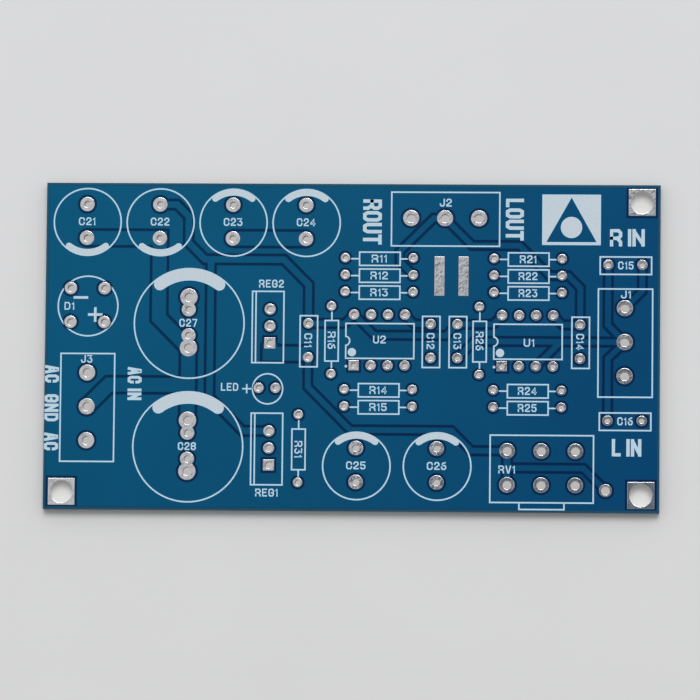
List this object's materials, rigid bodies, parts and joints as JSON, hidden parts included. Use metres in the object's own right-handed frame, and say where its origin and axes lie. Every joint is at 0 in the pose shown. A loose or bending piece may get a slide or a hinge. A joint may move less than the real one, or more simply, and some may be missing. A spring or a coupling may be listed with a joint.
{
  "type": "bare audio preamplifier circuit board",
  "caption": "Flat printed circuit board with blue solder mask, tinned plated holes and a white legend, that carries and connects the parts of a stereo audio preamplifier.",
  "frame": {"origin": "centre of the underside", "axes": "+X along the length, from the power terminal to the input terminal; +Y along the width, towards the output terminal; +Z out of the component side"},
  "size_m": [0.092, 0.049, 0.0016],
  "materials": {
    "laminate": "satin glass-epoxy",
    "copper": "satin foil",
    "mask": "semi-gloss, slightly translucent lacquer",
    "legend": "matte ink",
    "tin": "uneven tinned"
  },
  "bodies": {
    "root": {"laminate": "laminate", "copper_top": "copper", "copper_bottom": "copper", "mask_top": "mask", "mask_bottom": "mask", "legend": "legend", "tinned_bars": "tin", "mounting_pads": "tin", "power_terminal_pads": "tin", "input_terminal_pads": "tin", "output_terminal_pads": "tin", "bridge_pads": "tin", "negative_regulator_pads": "tin", "positive_regulator_pads": "tin", "lamp_pads": "tin", "output_amplifier_pads": "tin", "input_amplifier_pads": "tin", "potentiometer_pads": "tin", "ground_point": "tin", "filter_1_pads": "tin", "filter_2_pads": "tin", "filter_3_pads": "tin", "filter_4_pads": "tin", "coupling_1_pads": "tin", "coupling_2_pads": "tin", "reservoir_1_pads": "tin", "reservoir_2_pads": "tin", "film_1_pads": "tin", "film_2_pads": "tin", "film_3_pads": "tin", "film_4_pads": "tin", "ceramic_1_pads": "tin", "ceramic_2_pads": "tin", "resistor_1_pads": "tin", "resistor_2_pads": "tin", "resistor_3_pads": "tin", "resistor_4_pads": "tin", "resistor_5_pads": "tin", "resistor_6_pads": "tin", "resistor_7_pads": "tin", "resistor_8_pads": "tin", "resistor_9_pads": "tin", "resistor_10_pads": "tin", "resistor_11_pads": "tin", "resistor_12_pads": "tin", "resistor_13_pads": "tin"}
  },
  "joints": []
}
